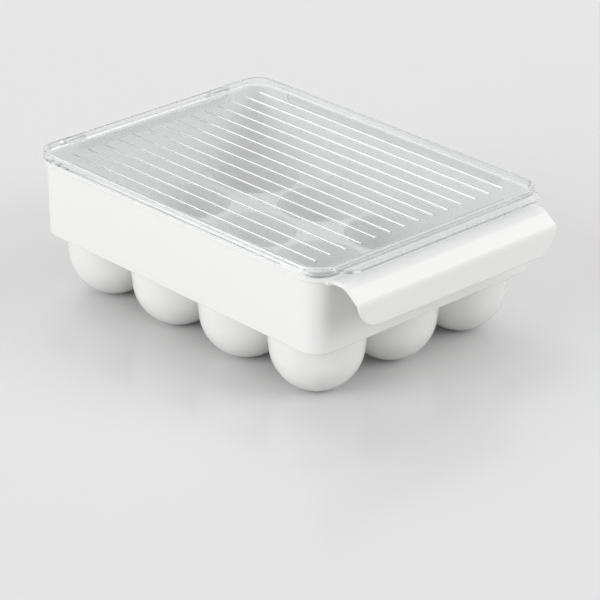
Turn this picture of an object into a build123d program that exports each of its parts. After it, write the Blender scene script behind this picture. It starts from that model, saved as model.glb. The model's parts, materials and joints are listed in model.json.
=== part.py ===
"""Twelve-egg refrigerator keeper: a moulded tray with egg cups and a front grip, and a clear flip lid.

Millimetres, +Z up.  The front, with the grip and the lid's tab, faces -Y.  The hinge runs along X
at the rear.  The origin is on the resting plane, under the middle of the keeper's outline.
"""
from build123d import *
from math import acos, atan2, cos, hypot, radians, sin, sqrt, tan
import os

# ---------------------------------------------------------------- driving dimensions
# egg cups
cups_across = 3            # along X
cups_along = 4             # along Y
cup_mouth_r = 25.7         # outside of a cup where it meets the deck
cup_gap = 0.6              # between the outsides of two neighbours, at the deck
cup_taper = 1.1            # the round bottom's radius is this much less than the mouth's
cup_depth = 33.0           # resting plane to the underside of the deck
cup_foot_r = 6.0           # small flat that the cup stands on
cup_wall = 1.8
cup_lip_r = 0.8            # rounded edge where a cup opens through the deck

# tray wall, deck and top flange
deck_t = 2.0
wall_h = 42.9              # underside of the deck to the top of the flange
wall_t = 1.8
wall_margin = 1.4          # edge of the outermost cup to the outside of the wall
wall_draft = 1.2           # degrees, the wall opens upwards
wall_corner_r = 10.0
wall_foot_r = 1.2          # rounded bottom edge of the wall
flange_w = 1.6             # top flange out from the wall
flange_t = 2.6
flange_edge_r = 0.6

# front grip
grip_inset = 7.4           # end of the grip to the side of the wall
grip_t = 2.4
grip_ledge = 11.6          # level run in front of the wall
grip_ledge_drop = 1.6      # ledge below the top of the flange
grip_slope = 37.0          # degrees, between the ledge and the crease
grip_reach = 21.4          # wall to the outside of the hanging lip
grip_drop = 23.2           # top of the flange to the bottom edge of the grip
grip_bend_r = 9.5
grip_crease_r = 2.6
grip_corner_r = 10.5
grip_edge_r = 1.9          # outer edge round the ends and the bottom
grip_root = 0.8            # how far the ledge runs into the wall

# lid
lid_gap = 0.3              # lid above the flange
lid_overhang = 0.5         # lid past the flange
lid_t = 1.8
lid_edge_r = 0.4           # lower edge of the plate, and both edges of the tab
rim_h = 3.3                # rim above the panel
rim_t = 2.0                # thickness of the rim at its top
rim_set = 0.5              # rim in from the edge of the plate
rim_slope = 12.0           # degrees, inner face of the rim
rim_top_r = 0.6
tab_inset = 10.6           # end of the tab to the side of the plate
tab_reach = 10.4           # tab past the front edge of the plate
tab_t = 1.9                # its top is level with the rim's
tab_corner_r = 9.8
rib_count = 14
rib_side = 14.8            # middle of the outermost rib to the side of the plate
rib_w = 2.0
rib_h = 0.6
rib_end = 15.6             # end of a rib to the edge of the plate
rib_flank = 40.0           # degrees off vertical
key_t = 1.5                # locating ribs under the panel
key_h = 4.0
key_gap = 0.5              # locating rib to the inside of the wall
key_rear_gap = 2.6         # the rear one stands further in and swings clear of the wall
key_inset = 26.0           # end of a locating rib to the corner of the wall
key_end_r = 3.2            # rounded lower corners of a locating rib

# hinge
hinge_inset = 30.1         # middle of each hinge to the side of the lid
pin_r = 1.2
pin_play = 0.08            # running clearance on the radius in the lid's knuckle
barrel_r = 2.9
knuckle_w = 12.0
knuckle_top_r = 2.0
ear_t = 3.0
ear_gap = 0.35             # between a knuckle and an ear
axis_back = 3.5            # behind the rear edge of the lid
axis_below = 5.8           # below the underside of the lid
open_angle = 110.0         # where the knuckle meets the stop web
stop_gap = 0.1             # knuckle to stop web at the open end
stop_from = 3.4            # stop web, measured from the axis along the open knuckle
stop_to = 6.2
stop_t = 2.2
gusset_h = 12.0            # foot of an ear on the wall, below the axis

# ---------------------------------------------------------------- derived places
cup_pitch = 2 * cup_mouth_r + cup_gap
cup_ball_r = cup_mouth_r - cup_taper

wall_flare = wall_h * tan(radians(wall_draft))
foot_half_x = (cups_across - 1) * cup_pitch / 2 + cup_mouth_r + wall_margin
foot_half_y = (cups_along - 1) * cup_pitch / 2 + cup_mouth_r + wall_margin
brim_half_x = foot_half_x + wall_flare
brim_half_y = foot_half_y + wall_flare
brim_corner_r = wall_corner_r + wall_flare
flange_half_x = brim_half_x + flange_w
flange_half_y = brim_half_y + flange_w
plate_half_x = flange_half_x + lid_overhang
plate_half_y = flange_half_y + lid_overhang
plate_corner_r = brim_corner_r + flange_w + lid_overhang

grip_half_w = foot_half_x - grip_inset
tab_half_w = plate_half_x - tab_inset
rib_pitch = 2 * (plate_half_x - rib_side) / (rib_count - 1)
hinge_x = plate_half_x - hinge_inset

deck_z = cup_depth
flange_z = deck_z + wall_h
lid_z = flange_z + lid_gap
panel_z = lid_z + lid_t
rim_z = panel_z + rim_h

axis_y = plate_half_y + axis_back
axis_z = lid_z - axis_below
open_tilt = radians(90.0 - open_angle)
stop_top = -(barrel_r + stop_gap)


def swung(along, out):
    """Point (y, z) from the axis: along the open knuckle, and out on its rim side."""
    return (
        along * cos(open_tilt) - out * sin(open_tilt),
        along * sin(open_tilt) + out * cos(open_tilt),
    )


stop_corners = [
    swung(stop_from, stop_top - stop_t),
    swung(stop_to, stop_top - stop_t),
    swung(stop_to, stop_top),
    swung(stop_from, stop_top),
]
front_reach = foot_half_y + grip_reach
rear_reach = axis_y + max(y for y, z in stop_corners)
mid_y = (front_reach - rear_reach) / 2     # middle of the cups in the finished frame


def rounded_block(half_x, half_y, corner_r, z, height, slope=0.0):
    """Upright block on a rounded rectangle; a positive slope in degrees opens it upwards."""
    outline = Pos(0, 0, z) * RectangleRounded(2 * half_x, 2 * half_y, corner_r)
    return extrude(outline, amount=height, taper=-slope)


# ---------------------------------------------------------------- tray
ball_z = sqrt(cup_ball_r ** 2 - cup_foot_r ** 2)


def flank_angle():
    """Angle on the ball, in radians, where the straight flank from the mouth touches it."""
    rise = deck_z - ball_z
    return atan2(rise, cup_mouth_r) - acos(cup_ball_r / hypot(cup_mouth_r, rise))


def cup_form(ball_r, foot_z, top_z):
    """Turned cup form: flat foot, round bottom and straight flank up to top_z."""
    flank = flank_angle()
    foot = (sqrt(ball_r ** 2 - (ball_z - foot_z) ** 2), foot_z)
    foot_angle = atan2(foot[1] - ball_z, foot[0])
    middle = (flank + foot_angle) / 2
    bulge = (ball_r * cos(middle), ball_z + ball_r * sin(middle))
    touch = (ball_r * cos(flank), ball_z + ball_r * sin(flank))
    mouth = (touch[0] - (top_z - touch[1]) * tan(flank), top_z)
    outline = Polyline(touch, mouth, (0, top_z), (0, foot_z), foot) + ThreePointArc(foot, bulge, touch)
    return revolve(Plane.XZ * make_face(outline), Axis.Z)


def make_hollow():
    """Space inside the wall, above the deck."""
    flare = deck_t * tan(radians(wall_draft))
    return rounded_block(
        foot_half_x + flare - wall_t, foot_half_y + flare - wall_t, wall_corner_r + flare - wall_t,
        deck_z + deck_t, wall_h, wall_draft,
    )


def make_shell():
    """Drafted wall on a flat deck, with the flange round its top."""
    shell = rounded_block(foot_half_x, foot_half_y, wall_corner_r, deck_z, wall_h, wall_draft)
    shell = fillet(shell.faces().sort_by(Axis.Z)[0].edges(), wall_foot_r)
    flange = rounded_block(
        flange_half_x, flange_half_y, brim_corner_r + flange_w, flange_z - flange_t, flange_t
    )
    flange = fillet(flange.faces().sort_by(Axis.Z)[0].edges(), flange_edge_r)
    return shell + flange - make_hollow()


def make_grip():
    """Bent sheet from the wall: level ledge, slope, crease and hanging lip with round corners."""
    ledge_z = flange_z - grip_ledge_drop
    bend_y = foot_half_y + grip_ledge
    crease_z = ledge_z - (front_reach - bend_y) * tan(radians(grip_slope))
    skin = FilletPolyline(
        (-(foot_half_y - grip_root), ledge_z),
        (-bend_y, ledge_z),
        (-front_reach, crease_z),
        (-front_reach, flange_z - grip_drop),
        radius=[grip_bend_r, grip_crease_r],
    )
    section = make_face(offset(skin, amount=grip_t, side=Side.LEFT))
    sheet = extrude(Plane.YZ * section, amount=grip_half_w, both=True)
    lower_face = sheet.faces().sort_by(Axis.Z)[0]
    sheet = fillet(lower_face.edges().filter_by(Axis.X, reverse=True), grip_corner_r)
    outer_face = sheet.faces().filter_by(Axis.Z).sort_by(Axis.Z)[-1]
    end_edge = outer_face.edges().filter_by(Axis.Y)[0]
    return fillet(end_edge, grip_edge_r)


def make_ear():
    """One hinge ear in the plane of the axis: round the pin, down to the wall and out to the stop."""
    wall_back = -(axis_y - foot_half_y) - wall_t / 2
    outline = Polygon(
        (wall_back, -gusset_h),
        stop_corners[1],
        stop_corners[2],
        (0, barrel_r),
        (wall_back, barrel_r),
        align=None,
    )
    ear = outline + Circle(barrel_r) - Circle(pin_r)
    return extrude(Plane.YZ * ear, amount=ear_t)


def make_bracket():
    """Pair of ears with the stop web between them, about the hinge axis."""
    inner_face = knuckle_w / 2 + ear_gap
    web = Plane.YZ * Polygon(*stop_corners, align=None)
    ear = Pos(inner_face, 0, 0) * make_ear()
    return extrude(web, amount=inner_face + ear_t / 2, both=True) + [ear, mirror(ear, Plane.YZ)]


def make_tray():
    """The whole white moulding, about the middle of the cups."""
    places = GridLocations(cup_pitch, cup_pitch, cups_across, cups_along)
    cup = cup_form(cup_ball_r, 0, deck_z + deck_t / 2)
    bowl = cup_form(cup_ball_r - cup_wall, cup_wall, deck_z + deck_t)
    tray = make_shell() + [place * cup for place in places]
    hollow = make_hollow()
    bracket = make_bracket()
    fittings = [Pos(side * hinge_x, axis_y, axis_z) * bracket for side in (-1, 1)] + [make_grip()]
    tray = tray + [item - hollow for item in fittings]
    tray = tray - [place * bowl for place in places]
    deck_top = deck_z + deck_t
    mouths = tray.edges().filter_by(GeomType.CIRCLE).filter_by(
        lambda edge: abs(edge.center().Z - deck_top) < 0.01 and edge.radius > cup_ball_r / 2
        and edge.length > cup_mouth_r
    )
    return fillet(mouths, cup_lip_r)


# ---------------------------------------------------------------- lid
def make_plate():
    """Flat plate with an eased lower edge."""
    plate = rounded_block(plate_half_x, plate_half_y, plate_corner_r, lid_z, lid_t)
    return fillet(plate.faces().sort_by(Axis.Z)[0].edges(), lid_edge_r)


def make_tab():
    """Finger tab that stands out from the front of the rim, level with its top."""
    root_y = plate_half_y - rim_set - rim_t / 2
    tip_y = plate_half_y + tab_reach
    tab = Pos(0, -root_y, rim_z) * Box(
        2 * tab_half_w, tip_y - root_y, tab_t, align=(Align.CENTER, Align.MAX, Align.MAX)
    )
    tab = fillet(tab.edges().filter_by(Axis.Z).group_by(Axis.Y)[0], tab_corner_r)
    front = tab.faces().sort_by(Axis.Y)[0]
    return fillet(front.edges().filter_by(Axis.X), lid_edge_r)


def make_rim():
    """Upstanding rim on the plate, with a sloped inner face that guides what is stacked on it."""
    half_x = plate_half_x - rim_set
    half_y = plate_half_y - rim_set
    corner_r = plate_corner_r - rim_set
    foot_t = rim_t + rim_h * tan(radians(rim_slope))
    ring = rounded_block(half_x, half_y, corner_r, panel_z, rim_h)
    well = rounded_block(
        half_x - foot_t, half_y - foot_t, corner_r - foot_t, panel_z, rim_h, rim_slope
    )
    ring = ring - well
    return fillet(ring.faces().sort_by(Axis.Z)[-1].edges(), rim_top_r)


def make_ribs():
    """Straight tapered ribs along the panel, side by side."""
    rib_len = 2 * (plate_half_y - rib_end)
    slot = Rot(0, 0, 90) * SlotOverall(rib_len, rib_w)
    rib = extrude(Pos(0, 0, panel_z) * slot, amount=rib_h, taper=rib_flank)
    return [place * rib for place in GridLocations(rib_pitch, 1, rib_count, 1)]


def make_keys():
    """Locating ribs under the panel, one just inside each wall of the tray."""
    inner_x = brim_half_x - wall_t - key_gap - key_t / 2
    inner_y = brim_half_y - wall_t - key_gap - key_t / 2
    rear_y = brim_half_y - wall_t - key_rear_gap - key_t / 2
    top = (Align.CENTER, Align.CENTER, Align.MAX)
    side = Box(key_t, 2 * (brim_half_y - key_inset), key_h, align=top)
    side = fillet(side.edges().filter_by(Axis.X).group_by(Axis.Z)[0], key_end_r)
    end = Box(2 * (brim_half_x - key_inset), key_t, key_h, align=top)
    end = fillet(end.edges().filter_by(Axis.Y).group_by(Axis.Z)[0], key_end_r)
    return [
        Pos(-inner_x, 0, lid_z) * side,
        Pos(inner_x, 0, lid_z) * side,
        Pos(0, -inner_y, lid_z) * end,
        Pos(0, rear_y, lid_z) * end,
    ]


def make_knuckle():
    """Arm from the rear edge of the lid down to its bored barrel, about the hinge axis."""
    top = axis_below + lid_t
    root = -axis_back - rim_t
    arm = Polygon(
        (-barrel_r, 0),
        (barrel_r, 0),
        (barrel_r, top),
        (root, top),
        (root, axis_below),
        (-barrel_r, axis_below),
        align=None,
    )
    heel = arm.vertices().group_by(Axis.Y)[-1].sort_by(Axis.X)[-1]
    barrel = fillet(heel, knuckle_top_r) + Circle(barrel_r) - Circle(pin_r + pin_play)
    return extrude(Plane.YZ * barrel, amount=knuckle_w / 2, both=True)


def make_lid():
    """The whole clear moulding, about the middle of the cups."""
    knuckle = make_knuckle()
    knuckles = [Pos(side * hinge_x, axis_y, axis_z) * knuckle for side in (-1, 1)]
    return make_plate() + make_rim() + make_tab() + make_ribs() + make_keys() + knuckles


# ---------------------------------------------------------------- hinge pins
def make_pin(side):
    """Straight pin through both ears and the knuckle."""
    length = knuckle_w + 2 * (ear_gap + ear_t)
    pin = Rot(0, 90, 0) * Cylinder(pin_r, length)
    return Pos(side * hinge_x, axis_y, axis_z) * pin


def main():
    """Build every piece in the finished frame and write one STEP file each."""
    pieces = {
        "tray_body": make_tray(),
        "flip_lid": make_lid(),
        "hinge_pin_left": make_pin(-1),
        "hinge_pin_right": make_pin(1),
    }
    os.makedirs("parts", exist_ok=True)
    for name, piece in pieces.items():
        placed = Pos(0, mid_y, 0) * piece
        placed.label = name
        export_step(placed, os.path.join("parts", name + ".step"))


main()
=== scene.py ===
# %% [markdown]
# # A refrigerator egg keeper with a clear flip lid
#
# The real object is a white moulded tray with twelve round cups, a clear lid that turns on
# two short pins at the back, and nothing else.  What makes it look real is how light behaves
# in two plastics: the white one is softly glossy and slightly deep, and the clear one bends
# and mirrors the room at every edge.  So most of the work goes into form and finish.

# %% Load the frame
import bpy, bmesh, json, math
from mathutils import Matrix, Vector

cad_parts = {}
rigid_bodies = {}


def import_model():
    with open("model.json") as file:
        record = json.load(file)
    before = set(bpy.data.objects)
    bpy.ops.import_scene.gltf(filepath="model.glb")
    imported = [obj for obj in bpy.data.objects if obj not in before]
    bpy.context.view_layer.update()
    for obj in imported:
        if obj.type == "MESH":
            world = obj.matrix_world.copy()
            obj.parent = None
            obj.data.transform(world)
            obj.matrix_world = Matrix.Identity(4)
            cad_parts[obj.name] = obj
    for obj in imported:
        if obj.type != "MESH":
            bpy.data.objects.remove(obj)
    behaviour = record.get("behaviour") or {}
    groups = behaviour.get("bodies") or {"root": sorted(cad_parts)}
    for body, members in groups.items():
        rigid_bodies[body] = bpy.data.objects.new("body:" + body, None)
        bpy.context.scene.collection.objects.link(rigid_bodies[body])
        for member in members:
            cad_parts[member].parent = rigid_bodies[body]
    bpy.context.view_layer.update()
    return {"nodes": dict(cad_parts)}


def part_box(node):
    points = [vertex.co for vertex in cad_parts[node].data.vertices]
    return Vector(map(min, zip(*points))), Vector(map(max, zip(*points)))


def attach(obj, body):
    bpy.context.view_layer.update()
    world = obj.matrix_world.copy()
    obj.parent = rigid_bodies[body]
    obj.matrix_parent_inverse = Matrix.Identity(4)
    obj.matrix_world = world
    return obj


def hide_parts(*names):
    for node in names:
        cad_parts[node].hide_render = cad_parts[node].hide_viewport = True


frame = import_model()
mm = 0.001

# %% [markdown]
# A colour picked on a screen is in sRGB, but Blender's sockets hold linear light.  One function
# turns a hex value into the numbers that a socket wants, so every colour below is written once.
# A second small function adds a node of any kind, which keeps the node trees short to read.

# %% Colours and one node helper
def hex_colour(code):
    """'#RRGGBB' in sRGB to a linear RGBA tuple."""
    parts = [int(code[i:i + 2], 16) / 255 for i in (1, 3, 5)]
    return tuple(c / 12.92 if c < 0.04045 else ((c + 0.055) / 1.055) ** 2.4 for c in parts) + (1.0,)


def add_node(tree, kind, inputs=None, **settings):
    """Add a node, set its properties, and fill its inputs with values or other nodes' outputs."""
    node = tree.nodes.new(kind)
    for name, value in settings.items():
        setattr(node, name, value)
    for name, value in (inputs or {}).items():
        for item in value if isinstance(value, list) else [value]:
            if isinstance(item, bpy.types.NodeSocket):
                tree.links.new(item, node.inputs[name])
            else:
                node.inputs[name].default_value = item
    return node


def new_material(name):
    """Empty material and its node tree."""
    material = bpy.data.materials.new(name)
    material.use_nodes = True
    material.node_tree.nodes.clear()
    return material, material.node_tree


print("white plastic in linear light:", [round(c, 3) for c in hex_colour("#F4F4F3")])

# %% [markdown]
# ## The camera
# A long lens from well above the front corner keeps the keeper's sides nearly parallel, as in
# catalogue pictures.  The place is worked out from the direction, the distance and a small
# move across the view, and a slight roll is added about the line of sight.

# %% Camera
view_az, view_el, view_roll = math.radians(-44.142), math.radians(24.855), math.radians(0.795)
cups_middle = Vector((0.0, 5.05, 33.0)) * mm
aim_right, aim_down, distance = 7.10, 16.25, 1563.3              # mm
render_px, focal_px, centre_x_px, centre_y_px = 600, 2956.9, 298.6, 280.5

towards_camera = Vector((math.sin(view_az) * math.cos(view_el),
                         -math.cos(view_az) * math.cos(view_el), math.sin(view_el)))
level_right = (-towards_camera).cross(Vector((0, 0, 1))).normalized()
level_up = level_right.cross(-towards_camera)
right = math.cos(view_roll) * level_right + math.sin(view_roll) * level_up
up = -math.sin(view_roll) * level_right + math.cos(view_roll) * level_up
aim = cups_middle + (aim_right * right - aim_down * up) * mm
eye = aim + towards_camera * distance * mm

camera_data = bpy.data.cameras.new("studio_camera")
camera_data.sensor_width = 36
camera_data.lens = focal_px * camera_data.sensor_width / render_px
camera_data.shift_x = (render_px / 2 - centre_x_px) / render_px
camera_data.shift_y = (centre_y_px - render_px / 2) / render_px
camera_data.clip_start, camera_data.clip_end = 0.05, 30
camera = bpy.data.objects.new("studio_camera", camera_data)
bpy.context.scene.collection.objects.link(camera)
axes = Matrix((right, up, towards_camera)).transposed().to_4x4()
camera.matrix_world = Matrix.Translation(eye) @ axes
bpy.context.scene.camera = camera
print("lens", round(camera_data.lens, 1), "mm, eye at", [round(c, 3) for c in eye])

# %% [markdown]
# ## Table and sky
# Clear plastic has almost no colour of its own: it shows what is round it.  So the table and
# the sky are pale to every ray that looks at them, directly, in a mirror or through the lid.
# Where they only throw their light on the keeper they are a darker grey, which leaves its white
# sides some shade.

# %% Table and sky
def seen_rays(tree):
    """1 for rays that look at a thing, directly, mirrored or through the lid; 0 for its light."""
    path = add_node(tree, "ShaderNodeLightPath")
    bent = add_node(tree, "ShaderNodeMath", {0: path.outputs["Is Glossy Ray"],
                                             1: path.outputs["Is Transmission Ray"]},
                    operation="MAXIMUM")
    return add_node(tree, "ShaderNodeMath", {0: path.outputs["Is Camera Ray"],
                                             1: bent.outputs[0]}, operation="MAXIMUM").outputs[0]


def make_studio_floor():
    """Pale glossy table, a hair under the keeper's feet, that faintly mirrors it."""
    reach, drop = 4.0, 0.0002
    mesh = bpy.data.meshes.new("studio_floor")
    mesh.from_pydata([(-reach, -reach, 0), (reach, -reach, 0), (reach, reach, 0),
                      (-reach, reach, 0)], [], [(0, 1, 2, 3)])
    material, tree = new_material("lacquered_table_white")
    colour = add_node(tree, "ShaderNodeMix", {"Factor": seen_rays(tree),
                                              "A": hex_colour("#C9C9C9"),
                                              "B": hex_colour("#E6E6E6")}, data_type="RGBA")
    paint = add_node(tree, "ShaderNodeBsdfPrincipled",
                     {"Base Color": colour.outputs["Result"], "Roughness": 0.16,
                      "Specular IOR Level": 0.35})
    add_node(tree, "ShaderNodeOutputMaterial", {"Surface": paint.outputs[0]})
    mesh.materials.append(material)
    floor = bpy.data.objects.new("studio_floor", mesh)
    bpy.context.scene.collection.objects.link(floor)
    floor.location.z = -drop


def make_sky():
    """World: it throws an even grey light, a little less from above, and looks nearly white."""
    world = bpy.data.worlds.new("studio_sky")
    bpy.context.scene.world = world
    world.use_nodes = True
    tree = world.node_tree
    tree.nodes.clear()
    direction = add_node(tree, "ShaderNodeTexCoord")
    split = add_node(tree, "ShaderNodeSeparateXYZ", {0: direction.outputs["Generated"]})
    height = add_node(tree, "ShaderNodeValToRGB", {0: split.outputs["Z"]})
    for stop, place, grey in zip(height.color_ramp.elements, (0.0, 0.6), ("#CCCCCC", "#BFBFBF")):
        stop.position, stop.color = place, hex_colour(grey)
    light = add_node(tree, "ShaderNodeBackground", {"Color": height.outputs[0], "Strength": 1.0})
    seen = add_node(tree, "ShaderNodeBackground",
                    {"Color": hex_colour("#F2F2F2"), "Strength": 1.0})
    mix = add_node(tree, "ShaderNodeMixShader",
                   {0: seen_rays(tree), 1: light.outputs[0], 2: seen.outputs[0]})
    add_node(tree, "ShaderNodeOutputWorld", {"Surface": mix.outputs[0]})


make_studio_floor()
make_sky()
print("world:", bpy.context.scene.world.name)

# %% [markdown]
# ## Four lamps
# The large lamp on the left makes the long wall the brightest face, so the front corner reads.
# The one in front lights the grip and the front wall.  The one behind glints in the lid's ribs,
# through their clear shoulders.  The small one, high on the right, is there for one thing: its
# mirror image is the highlight on the slope of the grip, so it alone may show in a mirror.

# %% Lamps
lamp_aim = Vector((0, 0, 0.04))


def make_lamp(name, place, size, power, mirrored=False, through_lid=True):
    """Square soft lamp at a place in metres, turned to the keeper."""
    data = bpy.data.lights.new(name, "AREA")
    data.size, data.energy = size, power
    lamp = bpy.data.objects.new(name, data)
    bpy.context.scene.collection.objects.link(lamp)
    lamp.location = place
    lamp.rotation_euler = (lamp_aim - Vector(place)).to_track_quat("-Z", "Y").to_euler()
    lamp.visible_glossy, lamp.visible_transmission = mirrored, through_lid
    return lamp


lamps = [make_lamp("side_softbox", (-4.3, 0.7, 1.5), 3.0, 112, through_lid=False),
         make_lamp("top_softbox", (1.8, -1.0, 2.1), 0.95, 4.2, mirrored=True),
         make_lamp("front_softbox", (1.9, -3.1, 1.7), 2.4, 56, through_lid=False),
         make_lamp("back_softbox", (0.75, 1.8, 2.5), 2.2, 20)]
bpy.context.scene.view_settings.view_transform = "Standard"
light_path = bpy.context.scene.cycles           # clear plastic needs many bounces
light_path.max_bounces = light_path.glossy_bounces = light_path.transmission_bounces = 40
print("lamps:", {lamp.name: round(lamp.data.energy, 1) for lamp in lamps}, "W")

# %% [markdown]
# ## Finishes
# White polypropylene straight from a polished mould is semi-gloss, a touch of light travels
# inside it, and the skin has a faint orange peel.  A Principled shader with a little subsurface
# does all of this.  The peel is 1.6 mm wide and only hundredths of a millimetre deep.  Its gloss
# drifts a little over 40 mm, as the melt flowed.

# %% White moulded polypropylene
def make_white_plastic():
    """Semi-gloss, slightly deep, with an orange peel.  Noise scales are cells to the metre."""
    material, tree = new_material("polypropylene_moulded_semigloss_white")
    place = add_node(tree, "ShaderNodeTexCoord").outputs["Object"]
    peel = add_node(tree, "ShaderNodeTexNoise", {"Vector": place, "Scale": 620.0, "Detail": 3.0})
    flow = add_node(tree, "ShaderNodeTexNoise", {"Vector": place, "Scale": 26.0, "Detail": 2.0})
    bump = add_node(tree, "ShaderNodeBump",
                    {"Strength": 0.10, "Distance": 0.00006, "Height": peel.outputs[0]})
    rough = add_node(tree, "ShaderNodeMapRange",
                     {"Value": flow.outputs[0], "From Min": 0.2, "From Max": 0.8,
                      "To Min": 0.06, "To Max": 0.09})
    skin = add_node(tree, "ShaderNodeBsdfPrincipled",
                    {"Base Color": hex_colour("#F4F4F3"), "Roughness": rough.outputs[0],
                     "IOR": 1.49, "Subsurface Weight": 0.12, "Subsurface Scale": 0.0015,
                     "Subsurface Radius": (1.0, 1.0, 1.0), "Normal": bump.outputs[0]})
    add_node(tree, "ShaderNodeOutputMaterial", {"Surface": skin.outputs[0]})
    return material


white_plastic = make_white_plastic()
print("white plastic nodes:", len(white_plastic.node_tree.nodes))

# %% [markdown]
# Clear polystyrene bends light more than glass does (IOR 1.59), and that gives its crisp bright
# and dark edges.  Light that travels from the lamps to the cups goes through the lid as if it
# were thin film: following every bent ray would only add noise, so rays on their way to a lamp
# or between matt surfaces meet a Transparent shader, and all the others meet the real plastic.
# A ray can also be trapped in the plate, turning from face to face until it is given up as
# black.  After 27 surfaces it too leaves through the Transparent shader, a little dimmed.

# %% Clear moulded polystyrene
def make_clear_plastic():
    """Clear and bright, with a faint swirl left by the flow of the melt."""
    material, tree = new_material("polystyrene_moulded_clear")
    place = add_node(tree, "ShaderNodeTexCoord").outputs["Object"]
    swirl = add_node(tree, "ShaderNodeTexNoise", {"Vector": place, "Scale": 38.0, "Detail": 1.0})
    bump = add_node(tree, "ShaderNodeBump",
                    {"Strength": 0.04, "Distance": 0.0001, "Height": swirl.outputs[0]})
    skin = add_node(tree, "ShaderNodeBsdfPrincipled",
                    {"Base Color": hex_colour("#FCFDFD"), "Roughness": 0.03, "IOR": 1.59,
                     "Transmission Weight": 1.0, "Normal": bump.outputs[0]})
    path = add_node(tree, "ShaderNodeLightPath")
    trapped = add_node(tree, "ShaderNodeMath", {0: path.outputs["Ray Depth"], 1: 27.5},
                       operation="GREATER_THAN")
    tint = add_node(tree, "ShaderNodeMix",
                    {"Factor": trapped.outputs[0], "A": hex_colour("#EEEFEF"),
                     "B": hex_colour("#C8CACA")}, data_type="RGBA")
    through = add_node(tree, "ShaderNodeBsdfTransparent", {"Color": tint.outputs["Result"]})
    unlit = add_node(tree, "ShaderNodeMath", {0: path.outputs["Is Shadow Ray"],
                                              1: path.outputs["Is Diffuse Ray"]},
                     operation="MAXIMUM")
    unbent = add_node(tree, "ShaderNodeMath", {0: unlit.outputs[0], 1: trapped.outputs[0]},
                      operation="MAXIMUM")
    mix = add_node(tree, "ShaderNodeMixShader",
                   {0: unbent.outputs[0], 1: skin.outputs[0], 2: through.outputs[0]})
    add_node(tree, "ShaderNodeOutputMaterial", {"Surface": mix.outputs[0]})
    return material


clear_plastic = make_clear_plastic()
print("clear plastic nodes:", len(clear_plastic.node_tree.nodes))

# %% [markdown]
# ## Two ways to make a closed shell
# Most of a moulding is a stack of outlines: each level has the same number of points, and a skin
# runs from level to level, up the outside, over the brim and down the inside.  A small prism
# function makes the hinge parts, whose outline is the same all along X.  Boolean union then welds
# the pieces to one skin, which matters for the clear lid: every hidden wall inside would show.

# %% Skins and prisms
def mesh_object(name, points, faces):
    """Object from points in millimetres, about the middle of the cups."""
    mesh = bpy.data.meshes.new(name)
    mesh.from_pydata([Vector(p) * mm for p in points], [], faces)
    thing = bpy.data.objects.new(name, mesh)
    bpy.context.scene.collection.objects.link(thing)
    return thing


def skin_over(name, rings):
    """Closed skin over rings of points: bands from ring to ring, first and last ring capped."""
    count = len(rings[0])
    faces = [tuple(reversed(range(count)))]
    for low in range(0, count * (len(rings) - 1), count):
        faces += [(low + k, low + (k + 1) % count, low + count + (k + 1) % count, low + count + k)
                  for k in range(count)]
    faces.append(tuple(range(count * (len(rings) - 1), count * len(rings))))
    return mesh_object(name, [p for ring in rings for p in ring], faces)


def rounded_outline(half_x, half_y, corner_r, z, steps=10):
    """Points of a rounded rectangle at height z, anticlockwise from above."""
    ring = []
    for quarter, (side_x, side_y) in enumerate(((1, 1), (-1, 1), (-1, -1), (1, -1))):
        for step in range(steps + 1):
            turn = math.radians(90 * (quarter + step / steps))
            ring.append((side_x * (half_x - corner_r) + corner_r * math.cos(turn),
                         side_y * (half_y - corner_r) + corner_r * math.sin(turn), z))
    return ring


def arc(middle, radius, start, end, steps):
    """Points on an arc in a section plane, angles in degrees."""
    angles = [math.radians(start + (end - start) * k / steps) for k in range(steps + 1)]
    return [(middle[0] + radius * math.cos(a), middle[1] + radius * math.sin(a)) for a in angles]


def prism(name, outline, start_x, end_x):
    """Outline in Y and Z, anticlockwise seen from +X, drawn out along X."""
    return skin_over(name, [[(x, y, z) for y, z in outline] for x in (start_x, end_x)])


def bake_in(thing, modifier):
    """Swap the object's mesh for what the modifier makes of it, and drop the modifier."""
    bpy.context.view_layer.update()
    graph = bpy.context.evaluated_depsgraph_get()
    mesh = bpy.data.meshes.new_from_object(thing.evaluated_get(graph))
    thing.modifiers.remove(modifier)
    thing.data = mesh


def weld(base, others, operation="UNION"):
    """Join other solids to the base, or cut them from it, and leave one plain mesh."""
    for other in others:
        join = base.modifiers.new("weld", "BOOLEAN")
        join.solver, join.operation, join.object = "MANIFOLD", operation, other
        bake_in(base, join)
        bpy.data.objects.remove(other)
    return base


def volume_cm3(thing):
    """Signed volume, negative if the skin is inside out, and the number of open edges."""
    body = bmesh.new()
    body.from_mesh(thing.data)
    size = body.calc_volume(signed=True)
    open_edges = sum(not edge.is_manifold for edge in body.edges)
    body.free()
    return round(size * 1e6, 2), open_edges


# %% [markdown]
# ## Geometry Nodes: run a tree and keep its mesh
# A tree is a recipe with named inputs.  This cell puts one on an object, fills its inputs through
# their identifiers, and swaps the object's mesh for the result, so the finished piece is plain.

# %% Tree helpers
def new_tree(name, inputs):
    """Tree with one Geometry output, and its inputs by name."""
    tree = bpy.data.node_groups.new(name, "GeometryNodeTree")
    tree.interface.new_socket("Geometry", in_out="OUTPUT", socket_type="NodeSocketGeometry")
    for label, kind in inputs.items():
        tree.interface.new_socket(label, in_out="INPUT", socket_type="NodeSocket" + kind)
    return tree, add_node(tree, "NodeGroupInput").outputs


def grow(thing, tree, values):
    """Run the tree on the object with these inputs and leave one plain mesh."""
    modifier = thing.modifiers.new(tree.name, "NODES")
    modifier.node_group = tree
    sockets = {item.name: item.identifier for item in tree.interface.items_tree
               if item.in_out == "INPUT"}
    for label, value in values.items():
        modifier[sockets[label]] = value
    bake_in(thing, modifier)


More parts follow.
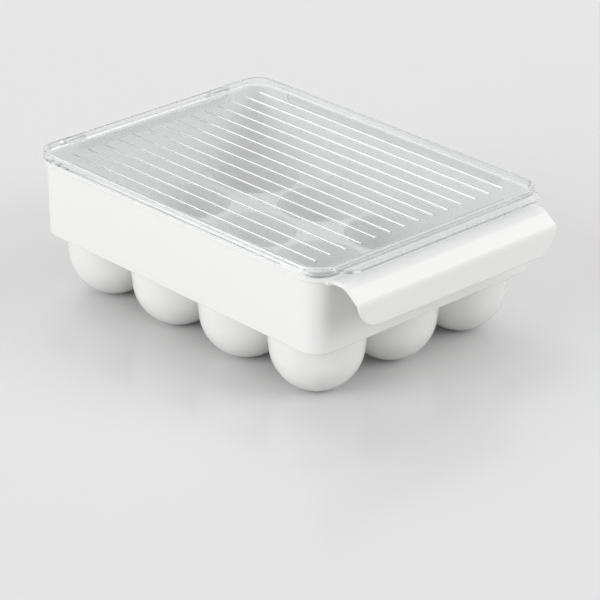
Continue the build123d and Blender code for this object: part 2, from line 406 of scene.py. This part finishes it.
# %% [markdown]
# ## The lid body
# The lid is a plate with a rim that stands up round its edge and slopes on the inside, so that
# the cups of a second keeper sit in it.  Its section is drawn once as steps inward from the
# plate's edge and up from the plate's underside, with every edge rounded by a few tenths of a
# millimetre: those small radii draw the bright outlines of clear plastic.

# %% Lid plate and rim
plate_half_x, plate_half_y, plate_corner_r = 82.099, 108.099, 13.0
lid_z, panel_z, rim_z = 76.2, 78.0, 81.3
plate_edge_r, step_edge_r = 0.4, 0.25           # lower edge, and the step outside the rim
rim_in, rim_edge_r, rim_round_in, rim_slope = 0.5, 0.6, 1.99, 12      # the slope in degrees
foot_in = 2.5 + 3.3 * math.tan(math.radians(rim_slope))               # where it meets the panel
foot_round_in, foot_r = 0.32, 0.4                                     # soft foot of the slope

lid_section = arc((-plate_edge_r, lid_z + plate_edge_r), plate_edge_r, -90, 0, 3)
lid_section += arc((-step_edge_r, panel_z - step_edge_r), step_edge_r, 0, 90, 3)
lid_section += [(-rim_in, panel_z)]
lid_section += arc((-rim_in - rim_edge_r, rim_z - rim_edge_r), rim_edge_r, 0, 90, 5)
lid_section += arc((-rim_round_in, rim_z - rim_edge_r), rim_edge_r, 90, 180 - rim_slope, 5)
lid_section += arc((-foot_in - foot_round_in, panel_z + foot_r), foot_r, -rim_slope, -90, 3)
lid = skin_over("clear_lid", [
    rounded_outline(plate_half_x + out, plate_half_y + out, plate_corner_r + out, z)
    for out, z in lid_section])
print("lid body:", len(lid_section), "levels, volume and open edges", volume_cm3(lid))

# %% [markdown]
# ## Tab, locating ribs and knuckles
# A finger lifts the lid by the tab, which is level with the top of the rim.  Four thin ribs under
# the plate keep the lid from sliding on the tray.  Two knuckles at the back hold the pins.
# Each is a skin or a prism that starts a little inside the plate, and is then welded to it.

# %% Tab
tab_half_x, tab_root_y, tab_tip_y = 71.5, 106.6, 118.5
tab_corner_r, tab_t, tab_edge_r = 9.8, 1.9, 0.4


def tab_outline(out, z):
    """Tab seen from above: square at the rim, round at the two front corners."""
    half_x, tip_y, corner_r = tab_half_x + out, tab_tip_y + out, tab_corner_r + out
    front = arc((-half_x + corner_r, -tip_y + corner_r), corner_r, 180, 270, 12)
    front += arc((half_x - corner_r, -tip_y + corner_r), corner_r, 270, 360, 12)
    return [(x, y, z) for x, y in front + [(half_x, -tab_root_y), (-half_x, -tab_root_y)]]


tab_section = arc((-tab_edge_r, rim_z - tab_t + tab_edge_r), tab_edge_r, -90, 0, 3)
tab_section += arc((-tab_edge_r, rim_z - tab_edge_r), tab_edge_r, 0, 90, 3)
tab = skin_over("tab", [tab_outline(out, z) for out, z in tab_section])
print("tab:", volume_cm3(tab))

# %% Locating ribs
key_t, key_h, key_end_r, key_root = 1.5, 4.0, 3.2, 0.3
key_side_x, key_front_y, key_rear_y = 77.8486, 103.8486, 101.7486
key_half_along, key_half_across = 79.9986, 53.9986


def locating_rib(half_length, degrees, place):
    """Thin plate on edge with round lower corners, along Y, or turned by some degrees."""
    low, top = lid_z - key_h, lid_z + key_root
    outline = arc((-half_length + key_end_r, low + key_end_r), key_end_r, 180, 270, 6)
    outline += arc((half_length - key_end_r, low + key_end_r), key_end_r, 270, 360, 6)
    outline += [(half_length, top), (-half_length, top)]
    rib = prism("locating_rib", outline, -key_t / 2, key_t / 2)
    turn = Matrix.Rotation(math.radians(degrees), 4, "Z")
    rib.data.transform(Matrix.Translation(Vector(place) * mm) @ turn)
    return rib


locating_ribs = [locating_rib(key_half_along, 0, (-key_side_x, 0, 0)),
                 locating_rib(key_half_along, 0, (key_side_x, 0, 0)),
                 locating_rib(key_half_across, 90, (0, -key_front_y, 0)),
                 locating_rib(key_half_across, 90, (0, key_rear_y, 0))]
print("locating ribs:", [volume_cm3(rib) for rib in locating_ribs])

# %% Knuckles
hinge_x, axis_y, axis_z = 51.999, 111.599, 70.4
barrel_r, bore_r, knuckle_half_w, heel_r = 2.9, 1.28, 6.0, 2.0
knuckle_top, knuckle_root_y = panel_z - axis_z, -5.5


def round_bar(name, radius, middle, half_length, steps=32):
    """Bar along X about the hinge axis, to cut a hole right through."""
    circle = arc((axis_y, axis_z), radius, 0, 360, steps)[:-1]
    return prism(name, circle, middle - half_length, middle + half_length)


def knuckle(side):
    """Arm from the lid's rear edge down to a barrel, with the bore for the pin."""
    outline = [(knuckle_root_y, lid_z - axis_z), (-barrel_r, lid_z - axis_z)]
    outline += arc((0, 0), barrel_r, 180, 360, 20)
    outline += arc((barrel_r - heel_r, knuckle_top - heel_r), heel_r, 0, 90, 6)
    outline += [(knuckle_root_y, knuckle_top)]
    middle = side * hinge_x
    arm = prism("knuckle", [(axis_y + y, axis_z + z) for y, z in outline],
                middle - knuckle_half_w, middle + knuckle_half_w)
    return weld(arm, [round_bar("bore", bore_r, middle, knuckle_half_w + 2)], "DIFFERENCE")


knuckles = [knuckle(side) for side in (-1, 1)]
print("knuckles:", [volume_cm3(arm) for arm in knuckles])
weld(lid, [tab] + locating_ribs + knuckles)
print("lid with fittings:", volume_cm3(lid))

# %% [markdown]
# ## Fourteen ribs on the lid, with Geometry Nodes
# The panel has straight ribs side by side, so one rib and a line of instances say it all.  The
# rib is a trapezoid with rounded shoulders swept along a line.  Near both ends the section
# shrinks along a quarter circle, which gives the round ends that a milled mould leaves.  The
# rounded shoulders matter: each gathers the lamp behind the keeper into a thin bright line.
#
# The sizes come first, as a table of sums: each row names its result, which later rows can use.

# %% Tree: sizes of a rib
rib_tree, rib_in = new_tree("ribs_on_panel", {
    "Panel": "Geometry", "Rib Count": "Int", "Pitch": "Float", "Length": "Float", "Width": "Float",
    "Top Width": "Float", "Height": "Float", "Root": "Float", "Shoulder Radius": "Float",
    "Panel Height": "Float", "Material": "Material"})
end_steps = 9                                   # points in each round end
least_share = 0.04                              # the section shrinks to this, not to nothing
size = dict(rib_in.items())
size["index"] = add_node(rib_tree, "GeometryNodeInputIndex").outputs[0]
for result, operation, *values in (
        ("to far end", "SUBTRACT", 2.0 * end_steps - 1, "index"),
        ("from end", "MINIMUM", "index", "to far end"),
        ("turn", "MULTIPLY", "from end", math.pi / 2 / (end_steps - 1)),
        ("cosine", "COSINE", "turn"), ("sine", "SINE", "turn"),
        ("shrink", "MAXIMUM", "sine", least_share),
        ("half width", "DIVIDE", "Width", 2.0),
        ("lost", "SUBTRACT", 1.0, "cosine"),
        ("short by", "MULTIPLY", "half width", "lost"),
        ("half length", "DIVIDE", "Length", 2.0),
        ("half along", "SUBTRACT", "half length", "short by"),
        ("past middle", "SUBTRACT", "index", end_steps - 0.5),
        ("side", "SIGN", "past middle"),
        ("along", "MULTIPLY", "half along", "side"),
        ("full height", "ADD", "Height", "Root"),
        ("half height", "DIVIDE", "full height", 2.0),
        ("lift", "SUBTRACT", "Root", "half height"),        # swept upside down
        ("gaps", "SUBTRACT", "Rib Count", 1.0),
        ("span", "MULTIPLY", "Pitch", "gaps"),
        ("first x", "DIVIDE", "span", -2.0)):
    terms = {k: size[v] if isinstance(v, str) else v for k, v in enumerate(values)}
    size[result] = add_node(rib_tree, "ShaderNodeMath", terms, operation=operation).outputs[0]
print("rib sizes:", len(rib_tree.nodes), "nodes")

# %% Tree: sweep one rib, set out all of them
spot = add_node(rib_tree, "ShaderNodeCombineXYZ", {1: size["along"]})
line = add_node(rib_tree, "GeometryNodeCurvePrimitiveLine", {"End": (0, 1, 0)}, mode="POINTS")
line = add_node(rib_tree, "GeometryNodeResampleCurve",
                {"Curve": line.outputs[0], "Count": 2 * end_steps}, mode="COUNT")
line = add_node(rib_tree, "GeometryNodeSetPosition",
                {"Geometry": line.outputs[0], "Position": spot.outputs[0]})
line = add_node(rib_tree, "GeometryNodeSetCurveNormal", {"Curve": line.outputs[0]}, mode="Z_UP")

section = add_node(rib_tree, "GeometryNodeCurvePrimitiveQuadrilateral",
                   {"Height": size["full height"], "Bottom Width": size["Top Width"],
                    "Top Width": size["Width"], "Offset": 0.0}, mode="TRAPEZOID")
section = add_node(rib_tree, "GeometryNodeFilletCurve",
                   {"Curve": section.outputs[0], "Count": 4, "Radius": size["Shoulder Radius"],
                    "Limit Radius": True}, mode="POLY")
lift = add_node(rib_tree, "ShaderNodeCombineXYZ", {1: size["lift"]})
section = add_node(rib_tree, "GeometryNodeSetPosition",
                   {"Geometry": section.outputs[0], "Offset": lift.outputs[0]})
rib = add_node(rib_tree, "GeometryNodeCurveToMesh",
               {"Curve": line.outputs[0], "Profile Curve": section.outputs[0],
                "Scale": size["shrink"], "Fill Caps": True})

start = add_node(rib_tree, "ShaderNodeCombineXYZ", {0: size["first x"], 2: size["Panel Height"]})
pitch = add_node(rib_tree, "ShaderNodeCombineXYZ", {0: size["Pitch"]})
places = add_node(rib_tree, "GeometryNodeMeshLine",
                  {"Count": size["Rib Count"], "Offset": pitch.outputs[0],
                   "Start Location": start.outputs[0]}, mode="OFFSET")
ribs = add_node(rib_tree, "GeometryNodeInstanceOnPoints",
                {"Points": places.outputs[0], "Instance": rib.outputs[0]})
ribs = add_node(rib_tree, "GeometryNodeRealizeInstances", {0: ribs.outputs[0]})
joined = add_node(rib_tree, "GeometryNodeMeshBoolean", {1: [size["Panel"], ribs.outputs[0]]},
                  operation="UNION", solver="MANIFOLD")
dressed = add_node(rib_tree, "GeometryNodeSetMaterial",
                   {"Geometry": joined.outputs[0], "Material": size["Material"]})
add_node(rib_tree, "NodeGroupOutput", {0: dressed.outputs[0]})
print("rib tree:", len(rib_tree.nodes), "nodes")

# %% Grow the ribs
grow(lid, rib_tree, {
    "Rib Count": 14, "Pitch": 10.354 * mm, "Length": 185.0 * mm, "Width": 2.2 * mm,
    "Top Width": 0.9 * mm, "Height": 0.6 * mm, "Root": 0.3 * mm, "Shoulder Radius": 0.6 * mm,
    "Panel Height": panel_z * mm, "Material": clear_plastic})
print("lid with ribs:", volume_cm3(lid), "faces", len(lid.data.polygons))

# %% [markdown]
# ## Shade the skin as a mould leaves it
# Welding leaves large flat faces next to narrow rounded ones.  Edges sharper than a limit stay
# hard; elsewhere the shading follows the larger face, so flat panels stay flat right up to
# their rounded edges.  The same step merges doubles, and then the piece moves to its place.

# %% Smooth skin and hand over
cups_y = 5.0507                  # the cups' middle is this far behind the keeper's middle
sharp_angle = math.radians(32)
same_point, no_length = 0.002 * mm, 0.001 * mm


def smooth_skin(thing):
    """Merge doubles, keep hard edges, and let large flat faces decide the shading beside them."""
    body = bmesh.new()
    body.from_mesh(thing.data)
    bmesh.ops.remove_doubles(body, verts=body.verts, dist=same_point)
    bmesh.ops.dissolve_degenerate(body, edges=body.edges, dist=no_length)
    body.to_mesh(thing.data)
    body.free()
    thing.data.shade_smooth()
    thing.data.set_sharp_from_angle(angle=sharp_angle)
    weigh = thing.modifiers.new("weigh", "WEIGHTED_NORMAL")
    weigh.keep_sharp = True
    bake_in(thing, weigh)


def hand_over(thing, node, body):
    """Shade the finished piece, put it in its place, hide the CAD node it stands for, and print
    both boxes and its volume.
    """
    smooth_skin(thing)
    thing.data.transform(Matrix.Translation((0, cups_y * mm, 0)))
    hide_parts(node)
    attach(thing, body)
    corners = [[end(v.co[k] for v in thing.data.vertices) for k in range(3)] for end in (min, max)]
    for maker, (low, high) in (("CAD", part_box(node)), ("scene", corners)):
        print(node, maker, "box in mm", [round(c / mm, 2) for c in (*low, *high)])
    print(node, "volume and open edges", volume_cm3(thing))


hand_over(lid, "flip_lid", "lid")

# %% [markdown]
# ## The tray's shell
# The tray is a box with a slight draft, so that it leaves its mould: 1.2 degrees, which makes the
# opening 1.8 mm wider than the foot.  Its section runs under the deck, round the foot, up the
# wall, out and over the flange, and down the inside to the deck again.

# %% Tray wall, deck and flange
foot_half_x, foot_half_y, foot_corner_r = 79.1, 105.1, 10.0
deck_z, deck_top, flange_z, wall_t = 33.0, 35.0, 75.9, 1.8
flange_w, flange_t, flange_edge_r, brim_edge_r = 1.6, 2.6, 0.6, 0.3
foot_edge_r, foot_edge_in, draft_angle = 1.2, 1.175, 1.2
draft = math.tan(math.radians(draft_angle))


def wall_out(z):
    """How far the outside of the wall has moved out at height z."""
    return (z - deck_z) * draft


flange_out, flange_under = wall_out(flange_z) + flange_w, flange_z - flange_t
brim_in, brim_z = wall_out(flange_z) - wall_t, flange_z - brim_edge_r
tray_section = arc((-foot_edge_in, deck_z + foot_edge_r), foot_edge_r, -90, -draft_angle, 6)
tray_section += [(wall_out(flange_under), flange_under)]
tray_section += arc((flange_out - flange_edge_r, flange_under + flange_edge_r),
                    flange_edge_r, -90, 0, 4)
tray_section += arc((flange_out - brim_edge_r, brim_z), brim_edge_r, 0, 90, 3)
tray_section += arc((brim_in + brim_edge_r, brim_z), brim_edge_r, 90, 180, 3)
tray_section += [(wall_out(deck_top) - wall_t, deck_top)]
tray = skin_over("white_tray", [
    rounded_outline(foot_half_x + out, foot_half_y + out, foot_corner_r + out, z)
    for out, z in tray_section])
print("shell:", volume_cm3(tray))

# %% [markdown]
# ## The front grip
# The grip is one bent sheet: a level ledge, a wide bend, a slope, a tight crease and a hanging
# lip with long round corners.  It is easiest to draw flat, as a sheet with a rounded edge all
# round, and then to bend: every point keeps its distance along the sheet and its depth under the
# outer face, and only its place in the section changes.  The ends thin out to a fine edge, and at
# the root the sheet widens in a small radius into the wall.

# %% Bent path of the grip
def bent_path(corners, radii, arc_steps=8):
    """Distance, point and outward normal along a polyline with rounded bends, in Y and Z."""
    stops = [(Vector(corners[0]), None)]
    for before, corner, after, radius in zip(corners, corners[1:], corners[2:], radii):
        back = (Vector(before) - Vector(corner)).normalized()
        ahead = (Vector(after) - Vector(corner)).normalized()
        half = back.angle(ahead) / 2
        middle = Vector(corner) + (back + ahead).normalized() * (radius / math.sin(half))
        start = Vector(corner) + back * (radius / math.tan(half)) - middle
        swing = math.pi - 2 * half
        for k in range(arc_steps + 1):
            spoke = Matrix.Rotation(swing * k / arc_steps, 2) @ start
            stops.append((middle + spoke, spoke.normalized()))
    stops.append((Vector(corners[-1]), None))
    stops[0] = (stops[0][0], stops[1][1])
    stops[-1] = (stops[-1][0], stops[-2][1])
    along = [0.0]
    for (a, _), (b, _) in zip(stops, stops[1:]):
        along.append(along[-1] + (b - a).length)
    return [(s, place, normal) for s, (place, normal) in zip(along, stops)]


front_reach, ledge_z, lip_end_z = 126.5, flange_z - 1.6, flange_z - 23.2
slope, bend_r, crease_r, root_in = math.radians(37), 9.5, 2.6, 0.8
bend_y = foot_half_y + 11.6
crease_z = ledge_z - (front_reach - bend_y) * math.tan(slope)
grip_path = bent_path([(-foot_half_y + root_in, ledge_z), (-bend_y, ledge_z),
                       (-front_reach, crease_z), (-front_reach, lip_end_z)], [bend_r, crease_r])
grip_length = grip_path[-1][0]
print("grip sheet:", round(grip_length, 2), "mm long,", len(grip_path), "stations")

# %% Grip sheet
grip_half_w, grip_t, root_r, root_at = 71.7, 2.4, 3.0, 3.1
root_shares = (0, 0.1, 0.25, 0.45, 0.7, 1)                        # stations in the root's radius
corner_across, corner_along, corner_power = 13.0, 15.0, 1.75      # long soft corner, not a circle
corner_steps, least_gap = 14, 0.2
front_edge_r, back_edge_r = 0.95, 1.3                             # they leave a fine end face


def on_path(s, depth, x):
    """Place of a point of the flat sheet once it is bent."""
    for (s0, p0, n0), (s1, p1, n1) in zip(grip_path, grip_path[1:]):
        if s <= s1 + 1e-9:
            break
    share = (s - s0) / (s1 - s0)
    place = p0.lerp(p1, share) - n0.lerp(n1, share).normalized() * depth
    return (x, place.x, place.y)


def sheet_edge(inset, depth):
    """Outline of the sheet, inset, at one depth: down the right side, round, up the left side."""
    corner_s = grip_length - corner_along
    stations = [0.0] + [root_at + root_r * share for share in root_shares]
    stations += [s for s, _, _ in grip_path if stations[-1] + least_gap < s < corner_s - least_gap]
    right_side = []
    for s in stations:
        short = min(1.0, max(0.0, (root_at + root_r - s) / root_r))
        flare = root_r * (1 - math.sqrt(1 - short ** 2))
        right_side.append((s, grip_half_w - inset + flare))
    for k in range(corner_steps + 1):
        turn = math.radians(90 * k / corner_steps)
        across, along = (ratio ** (2 / corner_power) for ratio in (math.cos(turn), math.sin(turn)))
        right_side.append((corner_s + (corner_along - inset) * along,
                           grip_half_w - corner_across + (corner_across - inset) * across))
    return ([on_path(s, depth, x) for s, x in right_side]
            + [on_path(s, depth, -x) for s, x in reversed(right_side)])


def make_grip():
    """Outlines from the outer face round the edge to the inner face, skinned and closed."""
    turns = [math.radians(t) for t in range(0, 91, 18)]
    levels = [(front_edge_r * (1 - math.sin(t)), front_edge_r * (1 - math.cos(t))) for t in turns]
    levels += [(back_edge_r * (1 - math.cos(t)), grip_t - back_edge_r * (1 - math.sin(t)))
               for t in turns]
    rings = [sheet_edge(inset, depth) for inset, depth in levels]
    count, last = len(rings[0]), len(rings) - 1
    starts = [level * count for level in range(last + 1)]
    faces = [(low + k, low + k + 1, low + count + k + 1, low + count + k)
             for low in starts[:-1] for k in range(count - 1)]
    for low, flip in ((starts[0], True), (starts[-1], False)):    # outer and inner face
        for k in range(count // 2 - 1):
            strip = (low + k, low + k + 1, low + count - 2 - k, low + count - 1 - k)
            faces.append(tuple(reversed(strip)) if flip else strip)
    faces.append(tuple(starts + [low + count - 1 for low in reversed(starts)]))    # root
    return mesh_object("grip", [p for ring in rings for p in ring], faces)


grip = make_grip()
print("grip:", volume_cm3(grip))

# %% [markdown]
# ## Hinge ears and stop web
# Each pin sits in two ears that grow out of the rear wall.  A web between them stops the open
# lid.  All three are prisms along X.  The web's corners are turned by 20 degrees because it lies
# square to the knuckle when the lid is open at 110 degrees.

# %% Hinge brackets
pin_r, ear_t, ear_gap, gusset_h, wall_back = 1.2, 3.0, 0.35, 12.0, -7.4
stop_corners = [(1.416, -6.049), (4.048, -7.007), (4.8, -4.94), (2.169, -3.982)]


def bracket_parts(side):
    """Two ears of one hinge and the web between them."""
    middle = side * hinge_x
    ear = [(wall_back, -gusset_h), stop_corners[1], stop_corners[2]]
    ear += arc((0, 0), barrel_r, -10, 90, 10) + [(wall_back, barrel_r)]
    spans = [(middle + start, middle + start + ear_t)
             for start in (-knuckle_half_w - ear_gap - ear_t, knuckle_half_w + ear_gap)]
    web_half = knuckle_half_w + ear_gap + ear_t / 2
    shapes = [("ear", ear, *span) for span in spans]
    shapes += [("web", stop_corners, middle - web_half, middle + web_half)]
    return [prism(name, [(axis_y + y, axis_z + z) for y, z in outline], start, end)
            for name, outline, start, end in shapes]


brackets = bracket_parts(-1) + bracket_parts(1)
print("bracket parts:", [volume_cm3(part) for part in brackets])
weld(tray, [grip] + brackets)
weld(tray, [round_bar("pin_hole", pin_r, side * hinge_x, 12, 48) for side in (-1, 1)], "DIFFERENCE")
print("tray without cups:", volume_cm3(tray))

# %% [markdown]
# ## Twelve egg cups, with Geometry Nodes
# A cup is turned: a small flat foot, a ball, and a straight flank that just touches the ball, so
# no crease shows.  The tree below is a lathe.  It takes a profile drawn as points (distance from
# the axis, height), spins it, sets copies on a grid, adds the outsides to the shell and cuts the
# insides out of it.  The inside profile flares at the top: that is the rounded lip of each cup.

# %% Cup profiles
ball_r, ball_z, cup_wall = 24.6, 23.8571, 1.8
flank = math.radians(6.0171)                      # from the upright
flank_top = (25.805, deck_z + 1.0)                # inside the deck's thickness
lip_r, lip_middle = 0.8, (24.817, 34.2)
clear_of_deck = 0.0005                            # so the cut is clean


def cup_profile(name, radius, foot_z, ends):
    """Edge-only mesh whose X is the distance from the axis and Z the height."""
    foot_r = math.sqrt(radius ** 2 - (ball_z - foot_z) ** 2)
    start = math.degrees(math.atan2(foot_z - ball_z, foot_r))
    rows = arc((0, ball_z), radius, start, -math.degrees(flank), 20) + ends
    mesh = bpy.data.meshes.new(name)
    mesh.from_pydata([(r * mm, 0, z * mm) for r, z in rows],
                     [(k, k + 1) for k in range(len(rows) - 1)], [])
    drawing = bpy.data.objects.new(name, mesh)
    bpy.context.scene.collection.objects.link(drawing)
    return drawing


lip = arc(lip_middle, lip_r, 180 - math.degrees(flank), 90, 6)[:-1]
lip += [(lip_middle[0], deck_top + clear_of_deck), (lip_middle[0], deck_top + 2.0)]
outside = cup_profile("cup_outside", ball_r, 0.0, [flank_top])
inside = cup_profile("cup_inside", ball_r - cup_wall, cup_wall, lip)
print("profile rows:", len(outside.data.vertices), len(inside.data.vertices))

# %% Tree: turned cups on a grid
cup_tree, cup_in = new_tree("turned_cups", {
    "Shell": "Geometry", "Outside": "Object", "Inside": "Object", "Cups Across": "Int",
    "Cups Along": "Int", "Pitch": "Float", "Steps Round": "Int", "Material": "Material"})


def turned(profile):
    """Spin a profile: its X becomes the size of the ring at its height."""
    info = add_node(cup_tree, "GeometryNodeObjectInfo", {"Object": profile})
    curve = add_node(cup_tree, "GeometryNodeMeshToCurve", {0: info.outputs["Geometry"]})
    position = add_node(cup_tree, "GeometryNodeInputPosition")
    place = add_node(cup_tree, "ShaderNodeSeparateXYZ", {0: position.outputs[0]})
    curve = add_node(cup_tree, "GeometryNodeSetCurveRadius",
                     {"Curve": curve.outputs[0], "Radius": place.outputs[0]})
    axis = add_node(cup_tree, "ShaderNodeCombineXYZ", {2: place.outputs[2]})
    curve = add_node(cup_tree, "GeometryNodeSetPosition",
                     {"Geometry": curve.outputs[0], "Position": axis.outputs[0]})
    ring = add_node(cup_tree, "GeometryNodeCurvePrimitiveCircle",
                    {"Resolution": cup_in["Steps Round"], "Radius": 1.0})
    size_here = add_node(cup_tree, "GeometryNodeInputRadius")
    return add_node(cup_tree, "GeometryNodeCurveToMesh",
                    {"Curve": curve.outputs[0], "Profile Curve": ring.outputs[0],
                     "Scale": size_here.outputs[0], "Fill Caps": True}).outputs[0]


def on_grid(solid):
    """Copies of a solid on the cups' grid, made real."""
    spans = []
    for count in (cup_in["Cups Across"], cup_in["Cups Along"]):
        gaps = add_node(cup_tree, "ShaderNodeMath", {0: count, 1: 1.0}, operation="SUBTRACT")
        spans.append(add_node(cup_tree, "ShaderNodeMath", {0: gaps.outputs[0], 1: cup_in["Pitch"]},
                              operation="MULTIPLY").outputs[0])
    grid = add_node(cup_tree, "GeometryNodeMeshGrid",
                    {"Size X": spans[0], "Size Y": spans[1],
                     "Vertices X": cup_in["Cups Across"], "Vertices Y": cup_in["Cups Along"]})
    copies = add_node(cup_tree, "GeometryNodeInstanceOnPoints",
                      {"Points": grid.outputs[0], "Instance": solid})
    return add_node(cup_tree, "GeometryNodeRealizeInstances", {0: copies.outputs[0]}).outputs[0]


with_cups = add_node(cup_tree, "GeometryNodeMeshBoolean",
                     {1: [cup_in["Shell"], on_grid(turned(cup_in["Outside"]))]},
                     operation="UNION", solver="MANIFOLD")
hollowed = add_node(cup_tree, "GeometryNodeMeshBoolean",
                    {0: with_cups.outputs[0], 1: on_grid(turned(cup_in["Inside"]))},
                    operation="DIFFERENCE", solver="MANIFOLD")
dressed = add_node(cup_tree, "GeometryNodeSetMaterial",
                   {"Geometry": hollowed.outputs[0], "Material": cup_in["Material"]})
add_node(cup_tree, "NodeGroupOutput", {0: dressed.outputs[0]})
print("cup tree:", len(cup_tree.nodes), "nodes")

# %% Grow the cups
grow(tray, cup_tree, {"Outside": outside, "Inside": inside, "Cups Across": 3, "Cups Along": 4,
                      "Pitch": 52.0 * mm, "Steps Round": 72, "Material": white_plastic})
for drawing in (outside, inside):
    bpy.data.objects.remove(drawing)
hand_over(tray, "tray_body", "tray")

# %% [markdown]
# ## The two hinge pins
# The pins are short acetal rods, cut from drawn rod and pressed into the ears.  Their shape in
# the frame is already right, so they keep it and only get a finish: duller and a little bluer
# than the tray, with faint rings every 0.1 mm (a wave's length is 0.314 over its scale).

# %% Pin finish
def make_pin_plastic():
    """Drawn rod: even, a little dull, with fine rings across its length."""
    material, tree = new_material("acetal_drawn_rod_white")
    place = add_node(tree, "ShaderNodeTexCoord").outputs["Object"]
    rings = add_node(tree, "ShaderNodeTexWave",
                     {"Vector": place, "Scale": 3300.0, "Distortion": 0.4}, bands_direction="X")
    bump = add_node(tree, "ShaderNodeBump",
                    {"Strength": 0.1, "Distance": 0.00002, "Height": rings.outputs["Color"]})
    skin = add_node(tree, "ShaderNodeBsdfPrincipled",
                    {"Base Color": hex_colour("#F1F2F3"), "Roughness": 0.22, "IOR": 1.48,
                     "Subsurface Weight": 0.08, "Subsurface Scale": 0.001,
                     "Normal": bump.outputs[0]})
    add_node(tree, "ShaderNodeOutputMaterial", {"Surface": skin.outputs[0]})
    return material


pin_plastic = make_pin_plastic()
for name in ("hinge_pin_left", "hinge_pin_right"):
    frame["nodes"][name].material_slots[0].material = pin_plastic
print("pins dressed:", pin_plastic.name)
